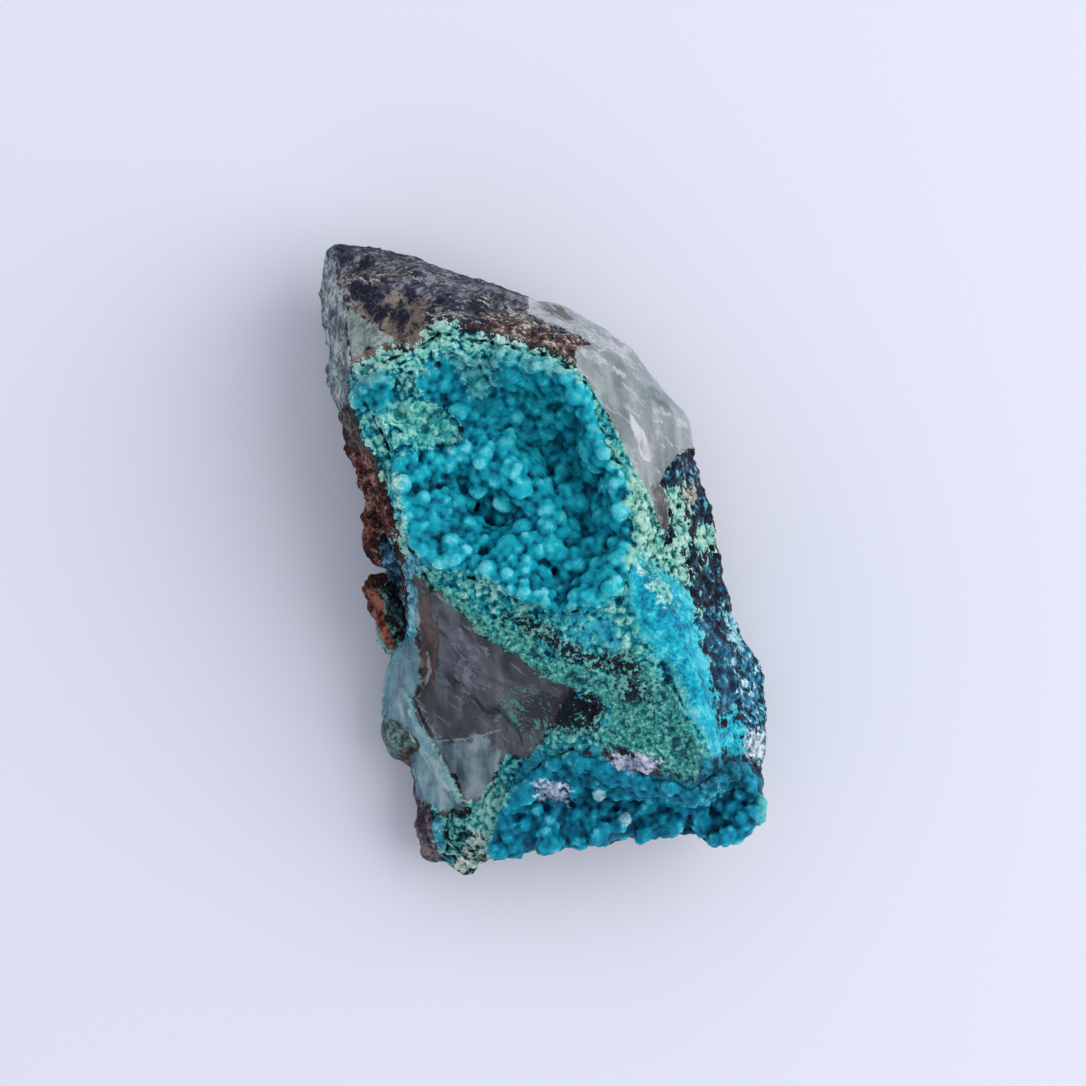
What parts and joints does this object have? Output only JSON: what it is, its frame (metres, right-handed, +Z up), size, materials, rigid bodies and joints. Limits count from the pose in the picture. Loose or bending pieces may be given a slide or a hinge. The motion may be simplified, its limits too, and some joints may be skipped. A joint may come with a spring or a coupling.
{
  "type": "chrysocolla mineral specimen",
  "caption": "Broken block of quartz and copper-stained rock, with open hollows lined by crusts of round blue-green chrysocolla beads.",
  "frame": {"origin": "middle of the bounding box, on the level the stone rests on", "axes": "+Z up from the flat base it lies on, +Y towards the sharp tip beside the larger hollow, +X to the right seen from above with the tip away"},
  "size_m": [0.056, 0.0792, 0.035],
  "materials": {
    "stone": "rough broken rock with glassy quartz and malachite",
    "chrysocolla": "matt drusy beads"
  },
  "bodies": {
    "root": {"stone_matrix": "stone", "upper_hollow_crust": "chrysocolla", "lower_hollow_crust": "chrysocolla"}
  },
  "joints": []
}
